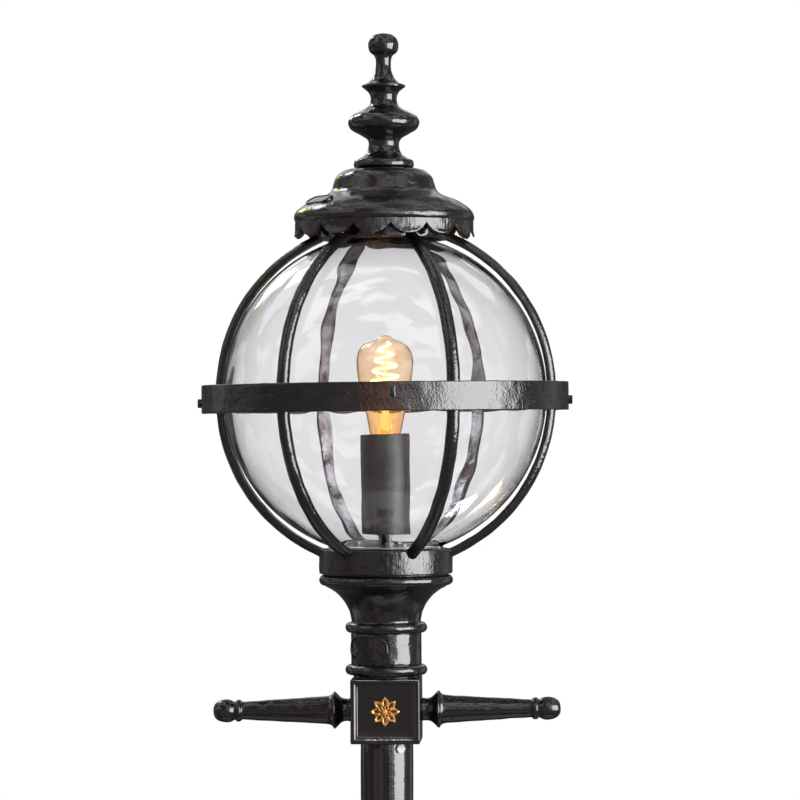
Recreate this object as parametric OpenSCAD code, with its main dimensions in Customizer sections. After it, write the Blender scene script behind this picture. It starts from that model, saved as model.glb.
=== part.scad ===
// Street lamp post: a caged glass globe on a steel tube, with ladder bars, a fluted lower
// shaft and a square cast pedestal that holds the electrical cut-out behind a door.
// Millimetres, +Z up, origin at the centre of the underside of the base.
// The front, with the rosette and the door, faces -Y.

/* [Post] */
// Height from the ground to the top of the finial
post_h = 2600; // [2450:10:3000]
// Outer radius of the steel tube
tube_r = 30; // [29.5:0.1:30.5]
// Wall of the steel tube
tube_wall = 4; // [3:0.5:4]

/* [Base] */
// Side of the square base flange
flange_w = 280; // [276:2:320]
// Thickness of the base flange
flange_t = 15; // [12:1:16]
// Distance between neighbouring anchor bolts
anchor_pitch = 220; // [216:2:230]
// Radius of the anchor holes
anchor_r = 9; // [7:0.5:9]
// Side of the pedestal's square body
pedestal_w = 170; // [166:1:176]
// Height of the pedestal
pedestal_h = 485; // [470:5:520]
// Width of the door opening
door_w = 110; // [100:1:116]
// Height of the door opening
door_h = 260; // [230:5:280]

/* [Shaft] */
// Radius of the fluted shaft
shaft_r = 48; // [46:1:52]
// Height of the fluted shaft
shaft_h = 400; // [300:10:500]
// Number of flutes
flute_count = 12; // [8:2:14]

/* [Ladder rest] */
// Side of the square block that carries the bars
block_w = 78.5; // [76:0.5:80]
// Height of that block
block_h = 73; // [70:1:76]
// Length of a bar from the block to the end of its ball
bar_len = 159; // [150:1:190]
// Turn of the block about the post
block_turn = -3; // [-5:0.5:5]

/* [Lantern] */
// Outer radius of the glass globe
globe_r = 184; // [182:0.5:184.5]
// Thickness of the glass
globe_wall = 3; // [2:0.5:4]
// Number of ribs in each half of the cage
rib_count = 6; // [4:1:6]
// Width of a rib
rib_w = 14; // [12:0.5:14]
// Depth of a rib
rib_d = 10; // [9:0.5:10]
// Outer radius of the band round the middle
band_r = 209; // [208:0.5:212]
// Height of that band
band_h = 32; // [28:1:36]
// Outer radius of the crown ring
crown_r = 76; // [75:0.5:78]
// Number of scallops on the canopy's skirt
scallop_count = 15; // [12:1:15]
// Outer radius of the lamp-holder's shroud
shroud_r = 27.7; // [27:0.1:29]

/* [Hidden] */
$fn = 72;

cut = 1;            // how far a cutter runs past the face it cuts
slip = 0.05;        // radial clearance of a running fit
gap = 0.3;          // clearance between faces that pass each other

// Pedestal and shaft, heights from the ground
wall = 8;
pedestal_z = flange_t + pedestal_h;
plinth_w = pedestal_w + 20;
cornice_w = pedestal_w + 26;
socket_h = 55;
door_z = flange_t + 115;
front_y = -pedestal_w / 2;
shaft_base_h = 60;
shaft_z = pedestal_z + shaft_base_h;
collar_z = shaft_z + shaft_h;
collar_h = 70;
cable_r = 3.5;

// Door and its hinges
door_proud = 1;
door_back = front_y + 6;
knuckle_r = 6;
hinge_pin_r = 3;
hinge_x = -door_w / 2 - 4;
hinge_y = front_y - knuckle_r - gap;
hinge_zs = [door_z + 35, door_z + door_h - 35];
lock_x = door_w / 2 - 13;
lock_z = door_z + door_h / 2;
lock_r = 8;

// Cut-out and its isolator
board_y = pedestal_w / 2 - wall - 12;
box_w = 70;
box_h = 120;
box_depth = 48;
box_z = door_z + 75;
box_y = board_y - box_depth;
lever_z = box_z + box_h - 32;
lever_y = box_y - 7;

// Lantern, heights from the centre of the globe
finial_top = 412;
finial_z = 258;
lamp_z = post_h - finial_top;
rib_in = globe_r + 1;
upper_lift = 4;
lower_lift = 5;
rib_turn = -6.5;
ledge_t = 6;
ledge_r = rib_in + 0.5;
band_t = 5;
ring_h = 7;
band_z = -3.5;
band_bolt_z = -8;
m6_r = 3;
m6_head_r = 5 / cos(30);
crown_z = 174;
crown_h = 26;
crown_in = crown_r - 12;
ledge_in_z = 216;   // flat inside the canopy that rests on the spacers
spacer_r = crown_r - 6;
stud_r = 5;
drum_r = crown_r;
drum_top = -175.6;
drum_z = -203.5;
drum_floor = 5;
register_r = 71;
neck_top = -205;
globe_neck_r = 65.5;
globe_neck_z = -195.5;
vent_r = 40;
plate_z = -175;
plate_t = 3;
plate_screw_r = 33;
plate_screw_turn = 36 - 90;
shroud_top = -45;
shroud_z = -158;
holder_z = -92;
holder_h = 35;
cap_r = 13.2;
pillar_pitch = 10;
pillar_turn = -63;
block_top = -322.1;
bar_hole_r = 6.1;
block_z = block_top - block_h;
bar_z = block_top - 36.7;
tube_z = pedestal_z - socket_h + 5;
tube_top = lamp_z + block_z;
set_bolt_z = block_z - 5.9;
set_bolt_turn = 28.5 - 90;
badge_z = -288;
badge_turn = -35 - 90;
neck_r = 40.2;

// A smooth curve through the points p, with n steps between neighbours
function blend(a, b, c, d, t) =
  0.5 * (2 * b + (c - a) * t + (2 * a - 5 * b + 4 * c - d) * t * t
    + (3 * b - a - 3 * c + d) * t * t * t);
function curve(p, n = 4) =
  [for (i = [0:len(p) - 2]) for (k = [0:n - 1])
    blend(p[max(i - 1, 0)], p[i], p[i + 1], p[min(i + 2, len(p) - 1)], k / n), p[len(p) - 1]];

// Triangles of a closed tube of rings, each with the same number of sides
function tube_faces(rings, sides) = concat(
  [[for (j = [0:sides - 1]) j]],
  [for (i = [0:rings - 2]) for (j = [0:sides - 1]) for (half = [0, 1])
    let (a = i * sides + j, b = i * sides + (j + 1) % sides)
      half == 0 ? [a, a + sides, b] : [b, a + sides, b + sides]],
  [[for (j = [sides - 1:-1:0]) (rings - 1) * sides + j]]);

module lantern() translate([0, 0, lamp_z]) children();

// A part turned about the post, from its half outline of [radius, height] points
module turned(outline) rotate_extrude($fn = 96) polygon(outline);

module ring(r_out, r_in, h) difference() {
  cylinder(r = r_out, h = h);
  translate([0, 0, -cut]) cylinder(r = r_in, h = h + 2 * cut);
}

module around(count, turn = 0) for (i = [0:count - 1]) rotate([0, 0, turn + i * 360 / count]) children();

// Runs children along +X instead of +Z
module along_x() rotate([0, 90, 0]) children();

// Runs children along -Y instead of +Z
module along_front() rotate([90, 0, 0]) children();

module hex_bolt(shank, head_h = 4) {
  cylinder(r = m6_head_r, h = head_h, $fn = 6);
  translate([0, 0, -shank]) cylinder(r = m6_r, h = shank + cut);
}

module slab(w, h) translate([-w / 2, -w / 2, 0]) cube([w, w, h]);

module square_taper(w0, w1, h) hull() {
  slab(w0, 0.01);
  translate([0, 0, h - 0.01]) slab(w1, 0.01);
}

// A flat outline with straight sides and round ends
module stadium(w, h) {
  square([w - h, h], center = true);
  for (side = [-1, 1]) translate([side * (w - h) / 2, 0]) circle(d = h);
}

// ---------------------------------------------------------------- base and pedestal

module base_flange() color("dimgray") difference() {
  translate([-flange_w / 2, -flange_w / 2, 0]) cube([flange_w, flange_w, flange_t]);
  for (x = [-1, 1]) for (y = [-1, 1]) translate([x * anchor_pitch / 2, y * anchor_pitch / 2, -cut])
    cylinder(r = anchor_r, h = flange_t + 2 * cut);
  translate([0, 0, -cut]) cylinder(r = 45, h = flange_t + 2 * cut);
}

module panel_recess(w, h) translate([-w / 2, -3, 0]) cube([w, 3 + cut, h]);

module hinge_web(z, h) translate([hinge_x - knuckle_r, hinge_y, z])
  cube([knuckle_r, front_y - hinge_y + cut, h]);

module hinge_eye(z, h) translate([hinge_x, hinge_y, z]) cylinder(r = knuckle_r, h = h);

module hinge_hole(z, r) translate([hinge_x, hinge_y, z - 40]) cylinder(r = r, h = 80);

module pedestal() color("black") difference() {
  union() {
    translate([0, 0, flange_t]) slab(plinth_w, 45);
    translate([0, 0, flange_t + 45]) square_taper(plinth_w, pedestal_w, 20);
    translate([0, 0, flange_t]) slab(pedestal_w, pedestal_h);
    translate([0, 0, pedestal_z - 50]) square_taper(pedestal_w, cornice_w, 22);
    translate([0, 0, pedestal_z - 28]) slab(cornice_w, 18);
    translate([0, 0, pedestal_z - 10]) square_taper(cornice_w, cornice_w - 14, 10);
    for (z = hinge_zs) for (side = [-1, 1]) translate([0, 0, side * 14 - 6]) {
      hinge_eye(z, 12);
      hinge_web(z, 12);
    }
  }
  difference() {
    translate([0, 0, flange_t - cut]) slab(pedestal_w - 2 * wall, pedestal_h - 25 + cut);
    translate([0, 0, pedestal_z - socket_h]) cylinder(r = tube_r + 9, h = socket_h);
  }
  translate([0, 0, tube_z]) cylinder(r = tube_r + slip, h = socket_h);
  translate([0, 0, pedestal_z - socket_h - cut]) cylinder(r = tube_r - tube_wall, h = socket_h);
  translate([-door_w / 2, front_y - cut, door_z]) cube([door_w, wall + 2 * cut, door_h]);
  for (turn = [90, 180, 270]) rotate([0, 0, turn]) translate([0, front_y + 3, door_z - 15])
    panel_recess(pedestal_w - 44, door_h + 30);
  for (z = hinge_zs) hinge_hole(z, hinge_pin_r);
}

module door_hinge_pins() color("silver") for (z = hinge_zs) translate([hinge_x, hinge_y, z]) {
  translate([0, 0, -20]) cylinder(r = hinge_pin_r, h = 40);
  translate([0, 0, 20]) cylinder(r = hinge_pin_r + 1.5, h = 2.5);
}

module door() color("black") difference() {
  union() {
    translate([-door_w / 2 + 0.4, front_y - door_proud, door_z + 0.5])
      cube([door_w - 1.4, door_back - front_y + door_proud, door_h - 1]);
    for (z = hinge_zs) translate([0, 0, -8 + gap]) {
      hinge_eye(z, 16 - 2 * gap);
      translate([hinge_x, front_y - 4, z]) cube([18, 4 - gap, 16 - 2 * gap]);
    }
  }
  for (z = hinge_zs) hinge_hole(z, hinge_pin_r + slip);
  translate([lock_x, door_back + cut, lock_z]) along_front() cylinder(r = lock_r + slip, h = 20);
  translate([2, front_y - door_proud + 3, door_z + 24]) panel_recess(door_w - 52, door_h - 48);
}

module door_lock() color("silver") difference() {
  union() {
    translate([lock_x, front_y + 12, lock_z]) along_front() cylinder(r = lock_r, h = 16);
    translate([lock_x, front_y + 12, lock_z]) along_front() cylinder(r = lock_r + 2, h = 3 - gap);
    translate([lock_x - 5, front_y + wall + 0.5, lock_z]) cube([10, 3, 24]);
  }
  translate([lock_x, front_y + 1, lock_z]) along_front() cylinder(r = 5, h = 10, $fn = 3);
}

module backboard() color("saddlebrown") {
  translate([-60, board_y, door_z - 10]) cube([120, 10, door_h + 20]);
  for (z = [door_z + 10, door_z + door_h - 10]) for (x = [-45, 45])
    translate([x, board_y + 12, z]) along_front() cylinder(r = 7, h = 2 + cut);
}

module cutout_box() color("gainsboro") difference() {
  union() {
    translate([-box_w / 2, box_y, box_z]) cube([box_w, box_depth, box_h]);
    for (x = [-10.5, 7]) translate([x, lever_y - 6, lever_z - 8]) cube([3.5, 13 + cut, 16]);
  }
  translate([-20, lever_y, lever_z]) along_x() cylinder(r = 2, h = 40);
}

module isolator_pin() color("silver") translate([-10.5, lever_y, lever_z]) along_x() cylinder(r = 2, h = 21);

module isolator_lever() color("firebrick") difference() {
  union() {
    translate([-6.7, lever_y, lever_z]) along_x() cylinder(r = 6, h = 13.4);
    translate([0, lever_y, lever_z]) rotate([-25, 0, 0]) translate([-5.5, -28, -2.5]) cube([11, 26, 5]);
  }
  translate([-20, lever_y, lever_z]) along_x() cylinder(r = 2 + slip, h = 40);
}

module cable_gland() color("dimgray") translate([0, box_y + box_depth / 2, box_z]) mirror([0, 0, 1]) {
  cylinder(r = 14, h = 8, $fn = 6);
  translate([0, 0, 8]) ring(11, 6, 14);
}

module earth_stud() color("goldenrod") translate([pedestal_w / 2 - wall, 20, door_z + 20])
  rotate([0, 0, 180]) along_x() {
  cylinder(r = 4, h = 26);
  translate([0, 0, 2]) cylinder(r = 6.5 / cos(30), h = 6, $fn = 6);
  translate([0, 0, 12]) cylinder(r = 8, h = 1.6);
  translate([0, 0, 13.6]) cylinder(r = 6.5 / cos(30), h = 6, $fn = 6);
}

// ---------------------------------------------------------------- shaft and tube

sleeve_in = tube_r + 0.2;

module shaft_base() color("black") translate([0, 0, pedestal_z]) turned(concat(
  [[sleeve_in, 0], [78, 0]],
  curve([[78, 0], [83, 3.5], [84, 8], [83, 12.5], [78, 16]]),
  curve([[74, 18], [64, 24], [57, 34], [54.5, 42]]),
  curve([[57, 43], [59.5, 48], [57, 53]]),
  [[52, 55], [52, shaft_base_h], [sleeve_in, shaft_base_h]]));

module fluted_shaft() color("black") translate([0, 0, shaft_z]) linear_extrude(shaft_h) difference() {
  circle(r = shaft_r);
  circle(r = sleeve_in);
  around(flute_count) translate([shaft_r + 3, 0]) circle(r = 8);
}

module shaft_collar() color("black") translate([0, 0, collar_z]) difference() {
  turned(concat(
    [[sleeve_in, 0]],
    curve([[51, 0], [55, 3], [56, 7], [55, 11], [51, 14]]),
    curve([[47, 16], [42.5, 22], [39.5, 31], [38.5, 41]]),
    curve([[40, 42.5], [43.6, 46], [44.5, 49.5], [43.6, 53], [40, 56.5]]),
    [[35.5, 58], [35.5, collar_h - 2], [34, collar_h], [sleeve_in, collar_h]]));
  around(3, 30) translate([0, 0, collar_h - 6]) along_x() cylinder(r = 2.5, h = 60);
}

module collar_screws() color("dimgray") translate([0, 0, collar_z + collar_h - 6]) around(3, 30)
  translate([tube_r, 0, 0]) along_x() difference() {
    cylinder(r = 2.5, h = 5);
    translate([0, 0, 3]) cylinder(r = 1.4, h = 3, $fn = 6);
  }

module post_tube() color("black") difference() {
  translate([0, 0, tube_z]) ring(tube_r, tube_r - tube_wall, tube_top - tube_z);
  around(2, set_bolt_turn) translate([0, 0, lamp_z + set_bolt_z]) along_x() cylinder(r = m6_r + 0.2, h = 60);
}

module tube_set_bolts() color("silver") lantern() around(2, set_bolt_turn)
  translate([tube_r, 0, set_bolt_z]) along_x() hex_bolt(tube_wall + 6);

// ---------------------------------------------------------------- ladder rest

spigot_r = tube_r - tube_wall - 0.1;
panel_w = block_w - 9;

module panel_cutter() translate([0, -block_w / 2, (block_top + block_z) / 2]) along_front() {
  hull() {
    translate([-panel_w / 2, -(block_h - 9) / 2, 0]) cube([panel_w, block_h - 9, cut]);
    translate([-panel_w / 2 + 4.5, -(block_h - 9) / 2 + 4.5, -3.5]) cube([panel_w - 9, block_h - 18, cut]);
  }
}

module ladder_block() color("black") lantern() rotate([0, 0, block_turn]) difference() {
  union() {
    translate([0, 0, block_z]) slab(block_w, block_h);
    translate([0, 0, block_top - cut]) cylinder(r = 19.8, h = 21);
    translate([0, 0, block_z - 55]) cylinder(r = spigot_r, h = 55 + cut);
  }
  for (side = [0, 180]) rotate([0, 0, side]) panel_cutter();
  translate([0, 0, block_z - 60]) cylinder(r = 12, h = block_h + 90);
  for (side = [0, 180]) rotate([0, 0, side]) translate([block_w / 2 - 18, 0, bar_z])
    along_x() cylinder(r = bar_hole_r, h = 30);
  around(2, set_bolt_turn - block_turn) translate([0, 0, set_bolt_z]) along_x() cylinder(r = m6_r, h = 60);
}

// One layer of eight pointed petals round a disc
module petals(r, w, turn) {
  lens_r = (r * r / 4 + w * w / 4) / w;
  circle(r = r / 3);
  around(8, turn) intersection() {
    translate([r / 2, w / 2 - lens_r]) circle(r = lens_r);
    translate([r / 2, lens_r - w / 2]) circle(r = lens_r);
    translate([2, -w]) square([r, 2 * w]);
  }
}

module rosettes() color("gold") lantern() for (side = [0, 180]) rotate([0, 0, block_turn + side])
  translate([0, 3.5 - block_w / 2, bar_z + 0.5]) along_front() {
    linear_extrude(2) petals(17, 7.4, 0);
    translate([0, 0, 2]) linear_extrude(1.4) petals(11, 5.4, 22.5);
    cylinder(r = 3, h = 4.6);
  }

// One bar, from the block's face outwards
module ladder_bar(side) color("black") lantern() rotate([0, 0, block_turn + side])
  translate([block_w / 2, 0, bar_z]) along_x() difference() {
    turned(concat(
      [[0, 0]],
      curve([[13.5, 0], [13, 6], [15, 13], [20.8, 19.5]]),
      curve([[20.8, 20.7], [17.5, 24], [16, 29], [15.6, 36]], 3),
      [[10, bar_len - 34]],
      [[10.8, bar_len - 32], [12.2, bar_len - 30.5], [12.2, bar_len - 27], [10.6, bar_len - 25]],
      curve([[10.6, bar_len - 24], [12.6, bar_len - 18], [12.2, bar_len - 9], [7.5, bar_len - 2],
        [0, bar_len]])));
    translate([0, 0, -cut]) cylinder(r = bar_hole_r, h = 21);
  }

module ladder_bar_left() ladder_bar(180);

module ladder_bar_right() ladder_bar(0);

module bar_studs() color("silver") lantern() for (side = [0, 180]) rotate([0, 0, block_turn + side])
  translate([block_w / 2 - 17, 0, bar_z]) along_x() cylinder(r = 6, h = 36);

// ---------------------------------------------------------------- neck and gallery

// A half-round bead that runs round the neck
module bead(axis_r, z, r) translate([0, 0, z]) rotate_extrude($fn = 96) translate([axis_r, 0]) circle(r = r);

module neck_casting() color("black") lantern() {
  turned(concat(
    [[15, neck_top], [69.5, neck_top], [69.5, neck_top - 12]],
    curve([[67.9, -217.7], [56.8, -225], [48, -235], [42, -246], [39.4, -257]]),
    [[39.4, -259], [neck_r, -271], [neck_r, -307], [37.4, -319], [37.4, block_top],
      [20, block_top], [20, block_top + 22], [15, block_top + 22]]));
  bead(70.3, neck_top - 6, 6);
  for (z = [-265, -313]) bead(40.7, z, 6);
}

// A piece of the neck's skin, seen from outside as a stadium of this width and height
module neck_plate(w, h, t) intersection() {
  ring(neck_r + t, neck_r, 60);
  translate([0, 0, 30]) rotate([90, 0, 90]) linear_extrude(60) stadium(w, h);
}

module neck_badge() color("black") lantern() rotate([0, 0, badge_turn]) translate([0, 0, badge_z - 30]) {
  difference() {
    neck_plate(54, 30, 2.4);
    neck_plate(49, 25, 3);
  }
  neck_plate(49, 25, 1.2);
}

module gallery_drum() color("black") lantern() difference() {
  turned([[20, neck_top], [register_r, neck_top], [register_r, drum_z], [drum_r, drum_z],
    [drum_r, drum_top - 1.5], [drum_r - 1.5, drum_top], [drum_r - 4.5, drum_top],
    [drum_r - 4.5, drum_z + drum_floor], [20, drum_z + drum_floor]]);
  plate_screw_holes(2.5);
}

module plate_screw_holes(r) around(3, plate_screw_turn)
  translate([plate_screw_r, 0, neck_top - cut]) cylinder(r = r, h = 60);

module globe_gasket() color("dimgray") lantern() translate([0, 0, drum_z + drum_floor])
  ring(globe_neck_r + 1.5, globe_neck_r - globe_wall - 1, globe_neck_z - drum_z - drum_floor);

module globe() color("white", 0.3) lantern() difference() {
  union() {
    sphere(r = globe_r, $fn = 96);
    translate([0, 0, globe_neck_z]) cylinder(r = globe_neck_r, h = 40);
  }
  sphere(r = globe_r - globe_wall, $fn = 96);
  translate([0, 0, globe_neck_z - cut]) cylinder(r = globe_neck_r - globe_wall, h = 60);
  cylinder(r = vent_r, h = globe_r + cut);
}

module gallery_plate() color("silver") lantern() difference() {
  translate([0, 0, plate_z]) ring(60, 6, plate_t);
  plate_screw_holes(2.7);
}

module plate_spacers() color("silver") lantern() around(3, plate_screw_turn)
  translate([plate_screw_r, 0, drum_z + drum_floor]) ring(5, 2.7, plate_z - drum_z - drum_floor);

module plate_screws() color("silver") lantern() around(3, plate_screw_turn) translate([plate_screw_r, 0, 0]) {
  translate([0, 0, drum_z]) cylinder(r = 2.5, h = plate_z + plate_t - drum_z);
  translate([0, 0, plate_z + plate_t]) cylinder(r = 4 / cos(30), h = 3.5, $fn = 6);
}

module at_pillars() around(2, pillar_turn) translate([pillar_pitch, 0, 0]) children();

module holder_pillars() color("silver") lantern() at_pillars() {
  translate([0, 0, plate_z + plate_t]) cylinder(r = 2.8, h = holder_z - plate_z - plate_t);
  translate([0, 0, shroud_z - 2.5]) cylinder(r = 5, h = 2.5);
}

module lamp_holder() color("ivory") lantern() turned([[0, holder_z], [22, holder_z], [23, holder_z + 1],
  [23, holder_z + holder_h], [cap_r + 1, holder_z + holder_h], [cap_r + 1, holder_z + 5], [0, holder_z + 5]]);

module holder_shell() color("goldenrod") lantern() translate([0, 0, holder_z + 5]) {
  ring(cap_r + 1, cap_r + slip, holder_h - 7);
  cylinder(r = 4, h = 1.5);
}

module holder_shroud() color("darkslategray") lantern() difference() {
  translate([0, 0, shroud_z]) cylinder(r = shroud_r, h = shroud_top - shroud_z);
  translate([0, 0, shroud_z + 2]) cylinder(r = shroud_r - 1.5, h = shroud_top - shroud_z - 3.5);
  translate([0, 0, shroud_top - 5]) cylinder(r = 20.5, h = 10);
  translate([0, 0, shroud_z - cut]) cylinder(r = 6, h = 5);
  at_pillars() translate([0, 0, shroud_z - cut]) cylinder(r = 2.8, h = 5);
}

// Route of the flex, from the lamp-holder down the post to the top of the cut-out
flex_end_z = box_z + box_h;
flex_route = [[0, 0, lamp_z + holder_z], [0, 0, lamp_z - 300], [0, 0, tube_z + 80], [0, 0, tube_z],
  [0, 3, tube_z - 15], [0, 10, tube_z - 30], [0, 21, tube_z - 46], [0, 32, tube_z - 62],
  [0, 40, tube_z - 77], [0, 43, flex_end_z + 12], [0, 43, flex_end_z]];
flex_sides = 10;

module supply_flex() color("dimgray") polyhedron(
  points = [for (p = flex_route) for (j = [0:flex_sides - 1])
    p + cable_r * [cos(j * 360 / flex_sides), sin(j * 360 / flex_sides), 0]],
  faces = tube_faces(len(flex_route), flex_sides));

// ---------------------------------------------------------------- lower cage

module rib_section() translate([rib_in, 0]) intersection() {
  union() {
    translate([0, -rib_w / 2]) square([rib_d - rib_w / 2, rib_w]);
    translate([rib_d - rib_w / 2, 0]) circle(r = rib_w / 2);
  }
  translate([0, -rib_w]) square([2 * rib_d, 2 * rib_w]);
}

// A rib of the upper half, from the seat it stands on to the ring it meets
module rib(seat_z, end_r, lift) difference() {
  translate([0, 0, lift]) along_front() rotate([0, 0, -3])
    rotate_extrude(angle = 73, $fn = 96) rib_section();
  cylinder(r = end_r, h = 2 * globe_r);
  translate([0, 0, seat_z - 40]) cylinder(r = band_r + 20, h = 40);
}

function rib_angle(k) = rib_turn + k * 360 / rib_count;

module lower_rib(k) color("black") lantern() rotate([180, 0, -rib_angle(k)])
  rib(ring_h, drum_r, lower_lift);

module lower_rib_1() lower_rib(0);

module lower_rib_2() lower_rib(1);

module lower_rib_3() lower_rib(2);

module lower_rib_4() lower_rib(3);

module lower_rib_5() lower_rib(4);

module lower_rib_6() lower_rib(5);

module lower_ring() color("black") lantern() difference() {
  translate([0, 0, -ring_h]) ring(band_r - band_t - 0.4, ledge_r, ring_h - 0.1);
  for (side = [0, 180]) rotate([0, 0, side])
    translate([ledge_r + 9.5, -m6_r - 0.6, band_bolt_z - m6_r - 0.6]) cube([30, 2 * m6_r + 1.2, 30]);
}

// ---------------------------------------------------------------- upper cage

module band_ring() color("black") lantern() difference() {
  union() {
    translate([0, 0, band_z - band_h / 2]) ring(band_r, band_r - band_t, band_h);
    ring(band_r - band_t + cut, ledge_r, ledge_t);
  }
  for (side = [0, 180]) rotate([0, 0, side]) translate([band_r - band_t - cut, 0, band_bolt_z])
    along_x() cylinder(r = m6_r, h = 20);
}

module band_bolts() color("black") lantern() for (side = [0, 180]) rotate([0, 0, side])
  translate([band_r, 0, band_bolt_z]) along_x() hex_bolt(band_t + 8, 4.5);

module upper_rib(k) color("black") lantern() rotate([0, 0, rib_angle(k)])
  rib(ledge_t, crown_r, upper_lift);

module upper_rib_1() upper_rib(0);

module upper_rib_2() upper_rib(1);

module upper_rib_3() upper_rib(2);

module upper_rib_4() upper_rib(3);

module upper_rib_5() upper_rib(4);

module upper_rib_6() upper_rib(5);

module crown_ring() color("black") lantern() translate([0, 0, crown_z]) difference() {
  union() {
    ring(crown_r, crown_in, crown_h);
    translate([0, 0, 12]) cylinder(r = 14, h = crown_h - 12);
    around(3, 23.5) translate([10, -6, crown_h - 10]) cube([crown_in - 8, 12, 8]);
  }
  cylinder(r = stud_r, h = crown_h + cut);
}

module canopy_spacers() color("silver") lantern() around(3, 83.5)
  translate([spacer_r, 0, crown_z + crown_h]) ring(5, 2.7, ledge_in_z - crown_z - crown_h);

canopy_top = finial_z - 0.1;
rim_z = 196;

canopy_face = curve([[36, canopy_top], [47, 255.5], [55, 248.5], [57.8, 236.8], [63.5, 229], [74, 224.7],
  [85, 220], [95, 212], [101, 202], [102.6, rim_z]]);

module canopy() color("black") lantern() turned(concat(
  [[stud_r + 1, canopy_top]],
  canopy_face,
  curve([[98.6, rim_z], [96, 203.5], [89, 211.5], [79, ledge_in_z]]),
  curve([[62, ledge_in_z], [55, 226], [51.5, 241], [44, 250], [34, 253.5]]),
  [[stud_r + 1, 253.5]]));

scallop_r = 24.3;
scallop_tip = 178.9;

module canopy_skirt() color("black") lantern() intersection() {
  turned([[99.6, rim_z], [101.4, rim_z], [101.4, 186], [103.8, 177.5], [102.2, 177.5], [99.6, 186]]);
  around(scallop_count, 3.9 + 180 / scallop_count - 90) translate([80, 0, scallop_tip + scallop_r])
    along_x() cylinder(r = scallop_r, h = 40);
}

module canopy_badge() color("black") lantern() difference() {
  rotate([0, 0, -60 - 90]) translate([84.5, 0, 220.2]) rotate([0, 30, 0]) translate([0, 0, -3.5])
    rotate([0, 0, 90]) linear_extrude(6) stadium(48, 17);
  turned(concat([[0, rim_z], [0, canopy_top]], canopy_face));
}

module finial_stud() color("silver") lantern() {
  translate([0, 0, crown_z - 2]) cylinder(r = stud_r, h = 156);
  for (z = [crown_z + 4, crown_z + crown_h]) translate([0, 0, z]) cylinder(r = 8.5 / cos(30), h = 8, $fn = 6);
}

module finial() color("black") lantern() translate([0, 0, finial_z]) difference() {
  turned(concat(
    [[0, 0]],
    curve([[30.5, 0], [33.6, 2], [34.2, 5.2], [33.2, 8.6], [29.5, 10.4]]),
    curve([[28, 11.5], [20.5, 17], [17.3, 26], [19.5, 33.5], [28.5, 39], [37.5, 45], [40.8, 52.7],
      [36.5, 59.5], [27, 65], [17.5, 71], [15, 79], [17.5, 87], [24.7, 93.2]]),
    curve([[24.7, 95], [13.5, 102], [9, 113], [8.5, 124], [11, 130]]),
    curve([[11, 130], [16.4, 135], [17.3, 142], [13.5, 150], [6, 153.6], [0, 154]])));
  translate([0, 0, -cut]) cylinder(r = stud_r + slip, h = 78);
}

// ---------------------------------------------------------------- lamp

cap_top = -55;

module bulb_cap() color("goldenrod") lantern()
  turned([[0, -85], [5, -85], [5, -84], [9, -82], [cap_r, -79], [cap_r, cap_top], [0, cap_top]]);

module bulb_glass() color("orange", 0.5) lantern() {
  turned(concat(
    [[12.6, cap_top]],
    curve([[12.6, cap_top], [18.5, -45], [22.6, -21], [28.8, 8], [32.3, 36], [27.5, 54], [16, 61.5],
      [4.5, 64], [0, 67]]),
    curve([[0, 62.8], [15.5, 60.3], [26.6, 53.3], [31.3, 36], [27.8, 8], [21.6, -21], [17.5, -45],
      [11.6, cap_top]])));
  turned([[0, cap_top], [8, cap_top], [5, -40], [4, -24], [1.5, -20], [1.5, 46], [0, 46]]);
}

// A glowing filament wound round the glass stem, widest at the bottom
coil_turns = 4;
coil_steps = 14;
coil_sides = 8;
coil_z = -2;
coil_h = 52;

module bulb_filament() color("yellow") lantern() polyhedron(
  points = [for (i = [0:coil_turns * coil_steps]) let (
      t = i / (coil_turns * coil_steps), a = t * 360 * coil_turns, r = 17 - 8 * t)
    for (j = [0:coil_sides - 1]) let (b = j * 360 / coil_sides, s = r + 1.2 * cos(b))
      [s * cos(a), s * sin(a), coil_z + coil_h * t + 1.2 * sin(b)]],
  faces = tube_faces(coil_turns * coil_steps + 1, coil_sides));

base_flange();
pedestal();
door_hinge_pins();
backboard();
cutout_box();
isolator_pin();
cable_gland();
earth_stud();
shaft_base();
fluted_shaft();
shaft_collar();
collar_screws();
post_tube();
ladder_block();
rosettes();
ladder_bar_left();
ladder_bar_right();
bar_studs();
tube_set_bolts();
neck_casting();
neck_badge();
gallery_drum();
lower_ring();
lower_rib_1();
lower_rib_2();
lower_rib_3();
lower_rib_4();
lower_rib_5();
lower_rib_6();
globe();
globe_gasket();
gallery_plate();
plate_spacers();
plate_screws();
holder_pillars();
lamp_holder();
holder_shell();
holder_shroud();
supply_flex();
door();
door_lock();
isolator_lever();
band_ring();
band_bolts();
upper_rib_1();
upper_rib_2();
upper_rib_3();
upper_rib_4();
upper_rib_5();
upper_rib_6();
crown_ring();
canopy_spacers();
canopy();
canopy_skirt();
canopy_badge();
finial_stud();
finial();
bulb_cap();
bulb_glass();
bulb_filament();
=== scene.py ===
"""Looks of a street lamp post: a caged glass globe, a turned finial and ladder bars on a tube,
over a fluted shaft and a square cast pedestal. Lengths are in millimetres unless a name or a
comment says otherwise, and heights in the lantern are from the centre of the globe."""

import math

import bmesh
import bpy
import numpy as np
from mathutils import Matrix, Quaternion, Vector

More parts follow.
